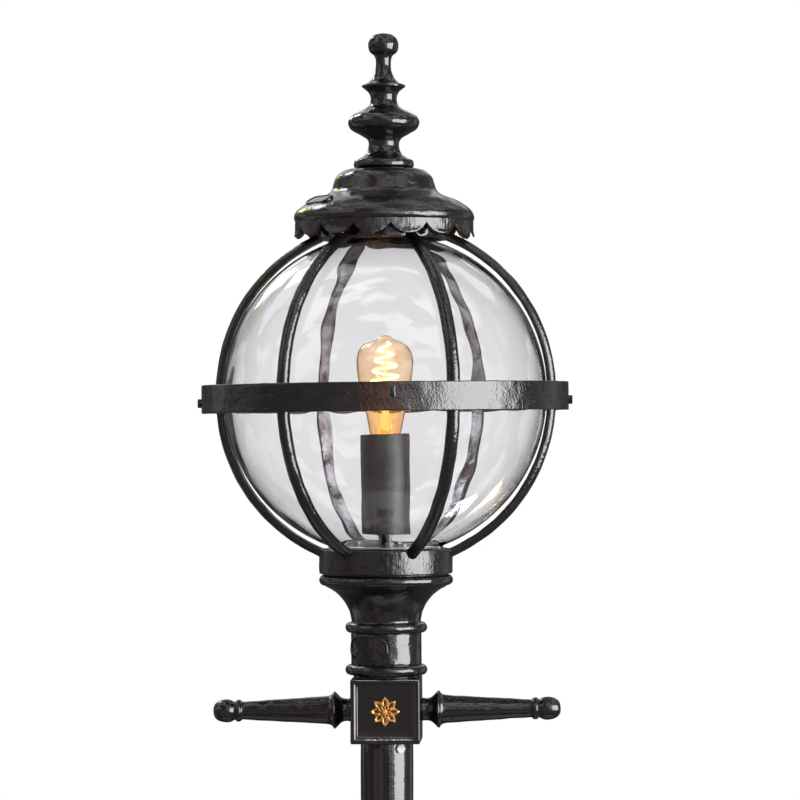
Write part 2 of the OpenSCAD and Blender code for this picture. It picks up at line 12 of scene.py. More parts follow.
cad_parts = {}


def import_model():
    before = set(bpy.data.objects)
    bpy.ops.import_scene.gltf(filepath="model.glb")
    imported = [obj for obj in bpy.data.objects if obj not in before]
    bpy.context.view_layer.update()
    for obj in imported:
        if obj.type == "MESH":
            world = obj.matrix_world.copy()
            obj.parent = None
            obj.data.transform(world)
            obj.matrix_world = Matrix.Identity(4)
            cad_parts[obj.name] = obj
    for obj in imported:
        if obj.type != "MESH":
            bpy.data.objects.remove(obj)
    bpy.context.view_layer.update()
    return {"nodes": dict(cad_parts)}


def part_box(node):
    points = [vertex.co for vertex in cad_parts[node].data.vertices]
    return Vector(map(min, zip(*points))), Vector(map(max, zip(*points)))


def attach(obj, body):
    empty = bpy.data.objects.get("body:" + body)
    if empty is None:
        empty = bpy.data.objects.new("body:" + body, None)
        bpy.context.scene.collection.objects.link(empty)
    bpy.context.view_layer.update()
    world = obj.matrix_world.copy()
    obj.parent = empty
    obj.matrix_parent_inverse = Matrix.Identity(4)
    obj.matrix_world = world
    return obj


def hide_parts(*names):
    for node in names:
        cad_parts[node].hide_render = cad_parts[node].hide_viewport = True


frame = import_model()

MM = 0.001
SHARP = math.radians(38)    # edges with a wider angle than this stay sharp
SPOKES = 192                # sides of a large turned piece


def middle(node):
    """The centre of a CAD node's box, in millimetres."""
    low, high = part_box(node)
    return (low + high) / 2 / MM


BOLT_DROP = 8.0             # from the centre of the globe down to the band's bolts
LAMP_Z = middle("band_bolts").z + BOLT_DROP
BAR_Z = middle("bar_studs").z - LAMP_Z


# ------------------------------------------------------------------ outlines


def curve(points, steps=6):
    """A smooth Catmull-Rom line through the points."""
    p = [np.array(q, float) for q in points]
    out = []
    for i in range(len(p) - 1):
        a, b, c, d = p[max(i - 1, 0)], p[i], p[i + 1], p[min(i + 2, len(p) - 1)]
        for k in range(steps):
            t = k / steps
            q = 2 * b + (c - a) * t + (2 * a - 5 * b + 4 * c - d) * t**2 + (3 * b - a - 3 * c + d) * t**3
            out.append(tuple(0.5 * q))
    return out + [tuple(p[-1])]


def rounded(points, radius=1.0, steps=4, closed=False, least=25):
    """The outline with an arc of this radius at each corner of more than least degrees."""
    p = [np.array(q, float) for q in points]
    out = []
    for i, here in enumerate(p):
        if not closed and i in (0, len(p) - 1):
            out.append(tuple(here))
            continue
        before, after = p[i - 1], p[(i + 1) % len(p)]
        back, on = before - here, after - here
        reach = min(np.linalg.norm(back), np.linalg.norm(on))
        if reach < 1e-6:
            continue
        back, on = back / np.linalg.norm(back), on / np.linalg.norm(on)
        turn = math.pi - math.acos(float(np.clip(back @ on, -1, 1)))
        if turn < math.radians(least):
            out.append(tuple(here))
            continue
        pull = min(radius * math.tan(turn / 2), 0.48 * reach)
        start, end = here + back * pull, here + on * pull
        for k in range(steps + 1):
            t = k / steps
            out.append(tuple((1 - t) ** 2 * start + 2 * t * (1 - t) * here + t * t * end))
    return out


def spaced(points, step, closed=False):
    """The outline with points added so that none are further apart than step."""
    p = [np.array(q, float) for q in points]
    ends = list(zip(p, p[1:] + ([p[0]] if closed else [])))
    out = []
    for a, b in ends if closed else ends[: len(p) - 1]:
        count = max(1, int(math.ceil(np.linalg.norm(b - a) / step)))
        out += [tuple(a + (b - a) * k / count) for k in range(count)]
    return out if closed else out + [tuple(p[-1])]


def arc(centre, radius, start, end, steps):
    """Points on an arc, with its angles in degrees."""
    angles = np.radians(np.linspace(start, end, steps + 1))
    return [(centre[0] + radius * math.cos(a), centre[1] + radius * math.sin(a)) for a in angles]


# ------------------------------------------------------------------ meshes


def ripple(points, size, depth, seed):
    """A smooth uneven height at each point, in the points' own units, from waves of about this size."""
    rng = np.random.default_rng(seed)
    total = np.zeros(len(points))
    waves = 18
    for _ in range(waves):
        way = rng.normal(size=3)
        way *= 2 * math.pi / (size * rng.uniform(0.7, 1.8) * np.linalg.norm(way))
        total += np.sin(points @ way + rng.uniform(0, 2 * math.pi))
    return depth * total / math.sqrt(waves / 2)


def piece(name, points, faces, body, nodes, material, slot, lumps=None, sharp=SHARP):
    """A new piece from points in millimetres. lumps is the (size, depth, seed) of its unevenness."""
    mesh = bpy.data.meshes.new(name)
    mesh.from_pydata((np.array(points, float) * MM).tolist(), [], faces)
    bm = bmesh.new()
    bm.from_mesh(mesh)
    bmesh.ops.remove_doubles(bm, verts=bm.verts, dist=1e-6)
    bmesh.ops.recalc_face_normals(bm, faces=bm.faces)
    bm.to_mesh(mesh)
    bm.free()
    if lumps:
        unsettle(mesh, *lumps)
    mesh.shade_smooth()
    mesh.set_sharp_from_angle(angle=sharp)
    made = bpy.data.objects.new(name, mesh)
    bpy.context.scene.collection.objects.link(made)
    mesh.materials.append(material)
    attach(made, body)
    if nodes:
        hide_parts(*nodes)
    return made


def unsettle(mesh, size, depth, seed):
    """Moves a mesh's points along their normals by a smooth uneven height."""
    count = len(mesh.vertices)
    at, normal = np.zeros(count * 3), np.zeros(count * 3)
    mesh.vertices.foreach_get("co", at)
    mesh.vertices.foreach_get("normal", normal)
    at, normal = at.reshape(-1, 3), normal.reshape(-1, 3)
    at += normal * (ripple(at / MM, size, depth, seed) * MM)[:, None]
    mesh.vertices.foreach_set("co", at.ravel())
    mesh.update()


def lathe(outline, spokes=SPOKES, z=0.0, closed=False):
    """Points and faces of an outline of (radius, height) turned about the vertical axis."""
    p = np.array(outline, float)
    angles = np.arange(spokes) * 2 * math.pi / spokes
    points = np.stack([
        p[:, None, 0] * np.cos(angles), p[:, None, 0] * np.sin(angles),
        p[:, None, 1] + z + 0 * angles], axis=-1).reshape(-1, 3)
    return points, grid_faces(len(p), spokes, closed, True)


def grid_faces(rows, columns, wrap_rows=False, wrap_columns=False):
    """Four-sided faces between the points of a grid, row by row."""
    faces = []
    for i in range(rows if wrap_rows else rows - 1):
        for j in range(columns if wrap_columns else columns - 1):
            a, b = i * columns, (i + 1) % rows * columns
            faces.append((a + j, a + (j + 1) % columns, b + (j + 1) % columns, b + j))
    return faces


def join(*shapes):
    """Several shapes, each its points and faces, as one."""
    points, faces = [], []
    for p, f in shapes:
        faces += [tuple(v + len(points) for v in face) for face in f]
        points += [tuple(q) for q in p]
    return np.array(points), faces


def placed(shape, matrix):
    """A shape moved by a 4x4 matrix in millimetres."""
    m = np.array(matrix)
    return np.asarray(shape[0], float) @ m[:3, :3].T + m[:3, 3], shape[1]


def spin(degrees, axis="Z"):
    return Matrix.Rotation(math.radians(degrees), 4, axis)


def shift(x, y, z):
    return Matrix.Translation((x, y, z))


def around(shape, count, turn=0.0):
    """Copies of a shape about the vertical axis."""
    return join(*[placed(shape, spin(turn + k * 360 / count)) for k in range(count)])


def sweep(section, places):
    """A closed section of (across, out) points carried along places, each (point, across, out) vectors."""
    rows = [[at + a * across + o * out for a, o in section] for at, across, out in places]
    sides = len(section)
    points = np.array(rows).reshape(-1, 3)
    faces = grid_faces(len(rows), sides, False, True)
    last = (len(rows) - 1) * sides
    return points, faces + [tuple(range(sides)), tuple(range(last, last + sides))[::-1]]


def tube(route, radius, sides=12):
    """A round tube along a list of points."""
    route = [np.array(p, float) for p in route]
    ring = [(radius * math.cos(a), radius * math.sin(a)) for a in np.arange(sides) * 2 * math.pi / sides]
    across = np.array((1.0, 0, 0))
    places = []
    for i, at in enumerate(route):
        ahead = route[min(i + 1, len(route) - 1)] - route[max(i - 1, 0)]
        ahead /= np.linalg.norm(ahead)
        if abs(ahead @ across) > 0.98:
            across = np.array((0, 1.0, 0))
        across = across - ahead * (across @ ahead)
        across /= np.linalg.norm(across)
        places.append((at, across, np.cross(ahead, across)))
    return sweep(ring, places)


def hexagon(apothem, height, chamfer=0.8, washer=0.6):
    """A hex head with a chamfered top, standing on a small round washer face."""
    corner = apothem / math.cos(math.pi / 6)
    rows = [(apothem * 0.96, 0, True), (apothem * 0.96, washer, True), (corner, washer + 0.05, False),
            (corner, height - chamfer * 0.75, False), (apothem * 0.96, height, True), (0, height, True)]
    sides = 48
    points = []
    for r, z, is_round in rows:
        for j in range(sides):
            a = j * 2 * math.pi / sides
            off = (a + math.pi / 6) % (math.pi / 3) - math.pi / 6
            flat = r * math.cos(math.pi / 6) / math.cos(off)
            reach = r if is_round else flat
            points.append((reach * math.cos(a), reach * math.sin(a), z))
    return np.array(points), grid_faces(len(rows), sides, False, True)


# ------------------------------------------------------------------ materials


class Nodes:
    """A node tree with short ways to add to it."""

    def __init__(self, tree):
        self.tree = tree
        self.tree.nodes.clear()

    def add(self, kind, inputs=None, **settings):
        node = self.tree.nodes.new(kind)
        for key, value in settings.items():
            setattr(node, key, value)
        for key, value in (inputs or {}).items():
            if isinstance(value, bpy.types.NodeSocket):
                self.tree.links.new(value, node.inputs[key])
            else:
                node.inputs[key].default_value = value
        return node

    def maths(self, operation, *values):
        return self.add("ShaderNodeMath", dict(enumerate(values)), operation=operation).outputs[0]

    def vector(self, operation, *values, output=0):
        return self.add("ShaderNodeVectorMath", dict(enumerate(values)), operation=operation).outputs[output]

    def spread(self, value, low, high, start=0.0, end=1.0, **settings):
        """The value's range low to high carried to start to end, and held there outside it."""
        inputs = {0: value, 1: low, 2: high, 3: start, 4: end}
        return self.add("ShaderNodeMapRange", inputs, **settings).outputs[0]

    def blend(self, share, a, b):
        """From colour a to colour b. A colour is another node's output or three numbers."""
        a, b = ((*c, 1) if isinstance(c, tuple) else c for c in (a, b))
        return self.add("ShaderNodeMix", {0: share, 6: a, 7: b}, data_type="RGBA").outputs[2]


class Shader(Nodes):
    """A material's node tree."""

    def __init__(self, name):
        self.material = bpy.data.materials.new(name)
        self.material.use_nodes = True
        super().__init__(self.material.node_tree)
        self.out = self.add("ShaderNodeOutputMaterial")

    def place(self, scale=(1, 1, 1), turn=(0, 0, 0)):
        """Points of the surface in metres, stretched by scale."""
        at = self.add("ShaderNodeTexCoord").outputs["Object"]
        inputs = {"Vector": at, "Rotation": turn}
        turned = self.add("ShaderNodeVectorRotate", inputs, rotation_type="EULER_XYZ")
        return self.vector("MULTIPLY", turned.outputs[0], scale)

    def facing_out(self):
        """How far the surface looks away from the centre of the globe, from -1 to 1."""
        at = self.add("ShaderNodeTexCoord").outputs
        out = self.vector("NORMALIZE", self.vector("ADD", at["Object"], (0, 0, -LAMP_Z * MM)))
        return self.vector("DOT_PRODUCT", out, at["Normal"], output="Value")

    def noise(self, per_metre, detail=2.0, rough=0.5, vector=None, distortion=0.0):
        inputs = {"Scale": per_metre, "Detail": detail, "Roughness": rough, "Distortion": distortion,
                  "Vector": vector or self.place()}
        return self.add("ShaderNodeTexNoise", inputs).outputs["Fac"]

    def bump(self, height, depth, strength=1.0, normal=None):
        inputs = {"Height": height, "Distance": depth * MM, "Strength": strength}
        if normal:
            inputs["Normal"] = normal
        return self.add("ShaderNodeBump", inputs).outputs[0]

    def principled(self, **inputs):
        """The main shader. A colour is another node's output or three numbers."""
        named = {key.replace("_", " "): (*value, 1) if isinstance(value, tuple) else value
                 for key, value in inputs.items()}
        return self.add("ShaderNodeBsdfPrincipled", named).outputs[0]

    def done(self, surface):
        self.tree.links.new(surface, self.out.inputs["Surface"])
        return self.material


def enamel(name, peel, fine, rough=(0.07, 0.15), streak=None, sheen_inside=False):
    """Thick gloss black paint brushed over a casting, with the depths of its coarse and fine unevenness.
    streak adds brush lines: (scale, lean in degrees, depth). sheen_inside turns the faces that look at the
    lamp into a pale mottled metal, a painted sheen that makes them look light grey."""
    s = Shader(name)
    tone = s.blend(s.spread(s.noise(9, 3), 0.4, 0.7), (0.0040, 0.0037, 0.0041), (0.0062, 0.0048, 0.0045))
    shine = s.spread(s.noise(26, 4, 0.6), 0.35, 0.7, *rough)
    zinc = 0.0
    # Painted sheen: the faces that look at the lamp get a pale mottled metal in place of the black paint.
    if sheen_inside:
        patch = s.spread(s.noise(24, 3, 0.6, distortion=1.5), 0.40, 0.52)
        sheen_side = s.spread(s.facing_out(), -0.75, -0.9)
        tone = s.blend(sheen_side, tone, s.blend(patch, (0.10, 0.085, 0.095), (0.62, 0.63, 0.66)))
        zinc = s.spread(sheen_side, 0, 1, 0, 0.95)
    normal = s.bump(s.noise(95, 2, 0.55, distortion=0.4), peel, 0.6)
    normal = s.bump(s.noise(320, 2, 0.6), fine, 0.8, normal)
    if streak:
        scale, lean, depth = streak
        lines = s.noise(1, 3, 0.6, s.place(scale, (0, math.radians(lean), 0)), 0.5)
        normal = s.bump(lines, depth, 0.6, normal)
    return s.done(s.principled(Base_Color=tone, Roughness=shine, IOR=1.52, Metallic=zinc, Normal=normal))


def satin_grey():
    """The lamp-holder's shroud, satin dark grey with fine drawn lines, dust and scratches."""
    s = Shader("satin_grey")
    lines = s.noise(1, 3, 0.6, s.place((700, 700, 12)))
    dust = s.spread(s.noise(300, 2, 0.6), 0.68, 0.74)
    patch = s.spread(s.noise(34, 4, 0.65), 0.35, 0.7)
    scratch = s.spread(s.noise(1, 3, 0.6, s.place((60, 60, 1100), (0.1, 0.16, 0)), 0.3), 0.66, 0.72)
    base = s.blend(patch, (0.005, 0.0045, 0.004), (0.013, 0.012, 0.011))
    base = s.blend(dust, base, (0.09, 0.085, 0.08))
    base = s.blend(scratch, base, (0.10, 0.095, 0.09))
    shine = s.spread(lines, 0.3, 0.7, 0.27, 0.32)
    normal = s.bump(lines, 0.015, 0.4)
    return s.done(s.principled(Base_Color=base, Roughness=shine, IOR=1.7, Normal=normal))


def metal(name, colour, dull, rough=(0.25, 0.45)):
    """Bare or plated metal with a cloudy surface."""
    s = Shader(name)
    base = s.blend(s.spread(s.noise(240, 4, 0.65), 0.35, 0.68), colour, dull)
    shine = s.spread(s.noise(700, 3), 0.3, 0.7, *rough)
    normal = s.bump(s.noise(1300, 3), 0.05, 0.5)
    return s.done(s.principled(Base_Color=base, Roughness=shine, Metallic=1.0, Normal=normal))


def gilt():
    """Gold paint brushed on the petals' rims, thinner in places."""
    s = Shader("gilt")
    cloud = s.spread(s.noise(420, 3, 0.6), 0.3, 0.7)
    base = s.blend(cloud, (0.74, 0.41, 0.10), (0.36, 0.16, 0.035))
    shine = s.spread(cloud, 0, 1, 0.22, 0.4)
    normal = s.bump(s.noise(900, 3), 0.12, 0.7)
    return s.done(s.principled(Base_Color=base, Roughness=shine, Metallic=0.5, Normal=normal))


def plastic(name, colour, rough=0.4, grain=0.03):
    """Moulded plastic or rubber, or a thick dull coat, with a fine texture."""
    s = Shader(name)
    cloud = s.spread(s.noise(60, 3), 0.3, 0.7)
    base = s.blend(cloud, colour, tuple(0.8 * c for c in colour))
    shine = s.spread(cloud, 0, 1, rough, rough + 0.08)
    normal = s.bump(s.noise(1500, 2), grain, 0.5)
    return s.done(s.principled(Base_Color=base, Roughness=shine, Normal=normal))


def plywood():
    """Varnished board with its grain upright."""
    s = Shader("plywood")
    grain = s.noise(1, 5, 0.6, s.place((160, 160, 7)), 0.8)
    base = s.blend(s.spread(grain, 0.3, 0.7), (0.50, 0.33, 0.17), (0.27, 0.15, 0.07))
    shine = s.spread(grain, 0.3, 0.7, 0.45, 0.6)
    return s.done(s.principled(Base_Color=base, Roughness=shine, Normal=s.bump(grain, 0.2, 0.4)))


def glass(name, tint, shine=0.5, glow=None, deep=None, wave=0.0):
    """Real glass that lets lamps shine through it. glow is its own light's (colour, strength), and
    deep is the tint below one height and the heights where it starts and ends, in metres."""
    s = Shader(name)
    extra = {"Emission_Color": glow[0], "Emission_Strength": glow[1]} if glow else {}
    colour = tint
    if deep:
        at = s.add("ShaderNodeSeparateXYZ", {0: s.place()}).outputs[2]
        colour = s.blend(s.spread(at, deep[1], deep[2]), deep[0], tint)
    if wave:
        extra["Normal"] = s.bump(s.noise(110, 2), wave, 0.8)
    body = s.principled(Base_Color=colour, Roughness=0.0, IOR=1.45, Transmission_Weight=1.0,
                        Specular_IOR_Level=shine, **extra)
    clear = s.add("ShaderNodeBsdfTransparent", {"Color": (*tint, 1)}).outputs[0]
    path = s.add("ShaderNodeLightPath").outputs
    both = s.add("ShaderNodeMixShader", {0: path["Is Shadow Ray"], 1: body, 2: clear}).outputs[0]
    return s.done(both)


def glowing(name, colour, strength):
    s = Shader(name)
    cloud = s.blend(s.spread(s.noise(500, 2), 0.3, 0.7), colour, tuple(0.9 * c for c in colour))
    return s.done(s.principled(Base_Color=cloud, Roughness=0.5, Emission_Color=colour,
                               Emission_Strength=strength))


PAINT = enamel("black_enamel", 0.45, 0.12, (0.07, 0.14))
PAINT_CAST = enamel("black_enamel_cast", 0.6, 0.25)
# The ribs' faces towards the lamp carry a painted sheen.
PAINT_RIBS = enamel("black_enamel_ribs", 0.7, 0.4, (0.08, 0.16), sheen_inside=True)
PAINT_BRUSHED = enamel("black_enamel_brushed", 0.35, 0.4, streak=((50, 50, 420), 0, 0.35))
PAINT_FLAT = enamel("black_enamel_flat", 0.3, 0.12, (0.1, 0.18))
PAINT_TUBE = enamel("black_enamel_tube", 0.3, 0.15, (0.08, 0.15))
PAINT_BAND = enamel("black_enamel_band", 0.5, 0.5, streak=((230, 230, 60), 24, 0.8))
PAINT_DRUM = enamel("black_enamel_drum", 0.6, 0.5, streak=((300, 300, 40), 0, 0.7))
ZINC = metal("zinc_plate", (0.50, 0.50, 0.49), (0.30, 0.30, 0.29))
GALVANISED = plastic("galvanised", (0.30, 0.305, 0.31), 0.4, 0.05)
BRASS = metal("brass", (0.78, 0.56, 0.24), (0.5, 0.33, 0.12), (0.2, 0.38))
GILT = gilt()
SHROUD = satin_grey()
PORCELAIN = plastic("porcelain", (0.80, 0.78, 0.73), 0.12, 0.01)
RUBBER = plastic("rubber", (0.03, 0.03, 0.03), 0.65, 0.08)
BLACK_PLASTIC = plastic("black_plastic", (0.02, 0.02, 0.02), 0.4)
WHITE_PLASTIC = plastic("white_plastic", (0.75, 0.75, 0.72), 0.35)
RED_PLASTIC = plastic("red_plastic", (0.58, 0.03, 0.02), 0.3)
BOARD = plywood()
CLEAR = glass("clear_glass", (0.955, 0.955, 0.96), 0.25)
AMBER = glass("amber_glass", (0.94, 0.84, 0.69), 0.5, ((1.0, 0.45, 0.12), 0.05),
              ((0.97, 0.72, 0.42), (LAMP_Z - 55) * MM, (LAMP_Z + 25) * MM))
AMBER_STEM = glass("amber_stem", (0.98, 0.82, 0.55), 0.5, ((1.0, 0.5, 0.12), 0.45), None, 3.0)
GLOW = glowing("glow", (1.0, 0.66, 0.26), 5.0)


# ------------------------------------------------------------------ crown of the lantern


def finial():
    """Turned finial, with heights from its own foot."""
    height = 154
    foot = middle("finial").z - height / 2
    outline = rounded([(0, 0), (31, 0)], 1)
    outline += curve([(31, 0), (33.7, 1.6), (34.2, 5.2), (33.0, 8.8), (29.6, 10.6)])
    outline += curve([(27.5, 11.2), (20.5, 16.5), (17.3, 26), (19.5, 33.5), (28.5, 39), (37.8, 45),
                      (40.8, 52.7), (36.8, 59.8), (27, 65), (17.5, 71), (15, 79), (17.2, 86.5), (24.4, 92.6)])
    outline += curve([(24.7, 93.6), (24.2, 95), (18.5, 97.4), (12.8, 102.5), (9.2, 112), (8.6, 123),
                      (10.6, 129)])[1:]
    outline += curve([(10.6, 129), (15.9, 133.5), (17.3, 141.5), (15.2, 148), (10, 152.4), (4, 153.8),
                      (0, height)])[1:]
    shape = lathe(spaced(outline, 2), 128, foot)
    piece("finial_casting", *shape, "finial", ["finial"], PAINT, "black_paint", (11, 0.1, 1))


def canopy():
    top = 257.9
    rim = 196
    outer = curve([(100.8, rim), (102.8, 201), (101.2, 207), (95, 213.5), (85, 219.8), (74, 224.3),
                   (64.5, 228.4), (59.4, 233.5), (57.6, 240), (54.6, 248), (47, 254.6), (37, 257.4),
                   (30, top)])
    under = curve([(34, 253.5), (44, 250), (51.5, 241), (55, 226), (62, 216)])
    lip = curve([(79, 216), (89, 211.5), (96, 203.5), (98.6, rim)])
    outline = rounded(outer + [(6, top), (6, 253.5)] + under + lip, 1.2, closed=True)
    shape = lathe(spaced(outline, 2.2, True), SPOKES, LAMP_Z, True)
    piece("canopy_casting", *shape, "upper_cage", ["canopy"], PAINT_BRUSHED, "black_paint", (14, 0.12, 2))


def canopy_skirt():
    """A scalloped skirt welded under the canopy's rim, with a rounded lower edge."""
    count, tip, radius, top, half = 15, 178.9, 24.3, 196.3, 1.1
    pitch = 2 * math.pi / count
    per_scallop, rows = 28, 8
    points = []
    for j in range(count * per_scallop):
        off = (j % per_scallop / per_scallop - 0.5) * pitch
        edge = tip + half + radius - math.sqrt(radius**2 - (101 * off) ** 2)
        a = j * pitch / per_scallop + math.radians(3.9 - 90)
        heights = [top + (edge - top) * k / rows for k in range(rows + 1)]
        low = (skirt_radius(edge, tip), edge)
        column = [(skirt_radius(z, tip) + half, z) for z in heights]
        column += arc(low, half, -30, -150, 4)
        column += [(skirt_radius(z, tip) - half, z) for z in reversed(heights)]
        points += [(r * math.cos(a), r * math.sin(a), z + LAMP_Z) for r, z in column]
    faces = grid_faces(count * per_scallop, 2 * (rows + 1) + 5, True, True)
    piece("skirt_of_scallops", np.array(points), faces, "upper_cage", ["canopy_skirt"], PAINT_DRUM,
          "black_paint", (6, 0.1, 3))


def skirt_radius(z, tip):
    """The skirt's middle radius at a height. It hangs straight and turns out at its tips."""
    low = max(0.0, (tip + 9 - z) / 9)
    return 100.6 + 2.0 * low**2


def canopy_badge():
    """A plain raised oval on the canopy's shoulder."""
    seat = shift(0, 0, LAMP_Z) @ spin(-60 - 90) @ shift(84.5, 0, 220.2) @ spin(30, "Y")
    shape = placed(oval_plate(48, 17, 4.9, 1.3, 0.8), seat @ shift(0, 0, -3.5) @ spin(90))
    piece("canopy_badge_plain", *shape, "upper_cage", ["canopy_badge"], PAINT, "black_paint")


def stadium(w, h, count=64):
    """Points round an outline with straight sides and round ends."""
    side, quarter = (w - h) / 2, count // 2
    right = arc((side, 0), h / 2, -90, 90, quarter - 1)
    left = arc((-side, 0), h / 2, 90, 270, quarter - 1)
    return right + left


def oval_plate(w, h, tall, rim, sink):
    """A flat oval with a raised rounded rim, standing on z = 0."""
    floor_z = tall - sink
    steps = [(0, 0), (0, tall - 0.8), (0.3, tall - 0.2), (0.8, tall), (rim, tall - 0.2), (rim + 0.5, floor_z),
             (h / 2, floor_z)]
    rows = []
    for inset, z in steps:
        ring = stadium(w - 2 * inset, max(h - 2 * inset, 0.01))
        rows += [(x, y, z) for x, y in ring]
    return np.array(rows), grid_faces(len(steps), len(rows) // len(steps), False, True)


def crown_ring():
    outer, inner, low, high = 76, 64, 176.5, 200
    outline = rounded([(inner, low), (outer, low), (outer, high), (inner, high)], 1.6, closed=True)
    ring = lathe(spaced(outline, 2.5, True), SPOKES, LAMP_Z, True)
    hub_outline = rounded([(5, 186), (14, 186), (14, high), (5, high)], 1.0, closed=True)
    hub = lathe(hub_outline, 48, LAMP_Z, True)
    arm_section = rounded([(-6, 190), (6, 190), (6, 198), (-6, 198)], 1.5, closed=True)
    up, side = np.array((0, 0, 1.0)), np.array((0, 1.0, 0))
    arm = sweep(arm_section, [(np.array((x, 0, LAMP_Z)), side, up) for x in np.linspace(12, inner + 2, 12)])
    shape = join(ring, hub, around(arm, 3, 23.5))
    piece("crown_casting", *shape, "upper_cage", ["crown_ring"], PAINT_CAST, "black_paint", (10, 0.15, 4))


# ------------------------------------------------------------------ cage


RIB_IN, RIB_OUT, RIB_W = 185.0, 195.0, 14.0
RIB_TURN = -6.5             # degrees
BAND_OUT = 209.0
BAND_LEAN = 0.006           # rise over run, towards +X


def rib_shape(seat, end_radius, lift):
    """A rib of the upper half in the XZ plane: flat towards the globe and round outside."""
    half = RIB_W / 2
    crown = RIB_OUT - RIB_IN - half
    section = rounded([(-half, 0), (half, 0)] + arc((0, crown), half, 0, 180, 14), 0.9, 3, True, 50)
    start = math.asin((seat - lift) / RIB_IN)
    end = math.acos(end_radius / RIB_OUT)
    places = []
    side = np.array((0, 1.0, 0))
    for a in np.linspace(start - 0.004, end, 90):
        out = np.array((math.cos(a), 0, math.sin(a)))
        at = RIB_IN * out + np.array((0, 0, lift + LAMP_Z))
        foot, tip = (a - start) * RIB_IN, (end - a) * RIB_IN
        flare = 1 + 0.16 * math.exp(-foot / 4.5) + 0.12 * math.exp(-tip / 5)
        places.append((at, side * flare, out * (0.5 + 0.5 * flare)))
    return sweep(section, places)


def ribs():
    upper, lower = rib_shape(6, 75, 4), rib_shape(7, 75, 5)
    flip = shift(0, 0, LAMP_Z) @ Matrix.Diagonal((1, -1, -1, 1)) @ shift(0, 0, -LAMP_Z)
    for k in range(6):
        turn = RIB_TURN + 60 * k
        lumps = (22, 0.12, 20 + k)
        piece(f"upper_rib_bar_{k + 1}", *placed(upper, spin(turn)), "upper_cage",
              [f"upper_rib_{k + 1}"], PAINT_RIBS, "black_paint", lumps)
        piece(f"lower_rib_bar_{k + 1}", *placed(lower, spin(turn) @ flip), "column",
              [f"lower_rib_{k + 1}"], PAINT_RIBS, "black_paint", lumps)


def band():
    """The flat band with its ledge. It was closed a little out of level, so its strap leans to one side."""
    inner, top, low, ledge = 204, 12.5, -19.5, 185.5
    outline = rounded([(inner, low), (BAND_OUT, low), (BAND_OUT, top), (inner, top), (inner, 6), (ledge, 6),
                       (ledge, 0), (inner, 0)], 1.1, 4, True)
    points, faces = lathe(spaced(outline, 2.0, True), 512, LAMP_Z, True)
    strap = np.hypot(points[:, 0], points[:, 1]) > inner - 0.5
    points[:, 2] += np.where(strap, points[:, 0] * BAND_LEAN, 0)
    piece("band_strap", points, faces, "upper_cage", ["band_ring"], PAINT_BAND, "black_paint", (18, 0.14, 5))
    below = rounded([(ledge, -7), (203.4, -7), (203.4, -0.3), (ledge, -0.3)], 0.8, 3, True)
    piece("lower_ring_strap", *lathe(spaced(below, 3, True), 256, LAMP_Z, True), "column", ["lower_ring"],
          PAINT_CAST, "black_paint", (12, 0.1, 6))
    piece("band_drip", *drip(), "upper_cage", [], PAINT, "black_paint")


def drip():
    """A hardened run of paint on the front of the band, with steep sides and a round foot."""
    start, end, tall, turn = 9.5, -5.7, 0.9, math.radians(2.3 - 90)
    rows, columns = 25, 17
    points = []
    for i in range(rows):
        t = i / (rows - 1)
        foot = math.sqrt(max(0.0, 1 - (max(0.0, t - 0.72) / 0.28) ** 2))
        half = (2.2 + 1.3 * t) * max(foot, 0.02)
        for j in range(columns):
            v = -1 + 2 * j / (columns - 1)
            a = turn + v * half / BAND_OUT
            r = BAND_OUT - 0.1 + tall * (1 - v**6) * min(1.0, 2.2 * t) * foot**0.5
            points.append((r * math.cos(a), r * math.sin(a), start + (end - start) * t + LAMP_Z))
    return np.array(points), grid_faces(rows, columns)


def bolt(head, shank_r, shank):
    """A hex bolt along +Z with its head on z = 0 and its shank below."""
    stem = lathe([(0, -shank), (shank_r, -shank), (shank_r, 0)], 24)
    return join(head, stem)


def band_bolts():
    one = bolt(hexagon(5, 4.5), 3, 12)
    both = []
    for side in (0, 180):
        points, faces = placed(one, spin(side) @ shift(BAND_OUT, 0, LAMP_Z - BOLT_DROP) @ spin(90, "Y"))
        both.append((points + [0, 0, points[0][0] * BAND_LEAN], faces))
    piece("band_hex_bolts", *join(*both), "upper_cage", ["band_bolts"], PAINT, "black_paint")


# ------------------------------------------------------------------ globe and lamp


def globe():
    outer, wall, neck, bottom, vent = 184.0, 3.0, 65.5, -195.5, 40.0
    inner = outer - wall
    low = -math.degrees(math.acos(neck / outer))
    high = math.degrees(math.acos(vent / outer))
    low_in = -math.degrees(math.acos((neck - wall) / inner))
    high_in = math.degrees(math.acos(vent / inner))
    outside = [(neck, bottom)] + arc((0, 0), outer, low, high, 130)
    inside = arc((0, 0), inner, high_in, low_in, 130) + [(neck - wall, bottom)]
    outline = rounded(outside + inside, 1.2, 3, True, 50)
    piece("globe_glass", *lathe(outline, 256, LAMP_Z, True), "column", ["globe"], CLEAR, "clear_glass",
          (45, 0.05, 7), math.radians(60))


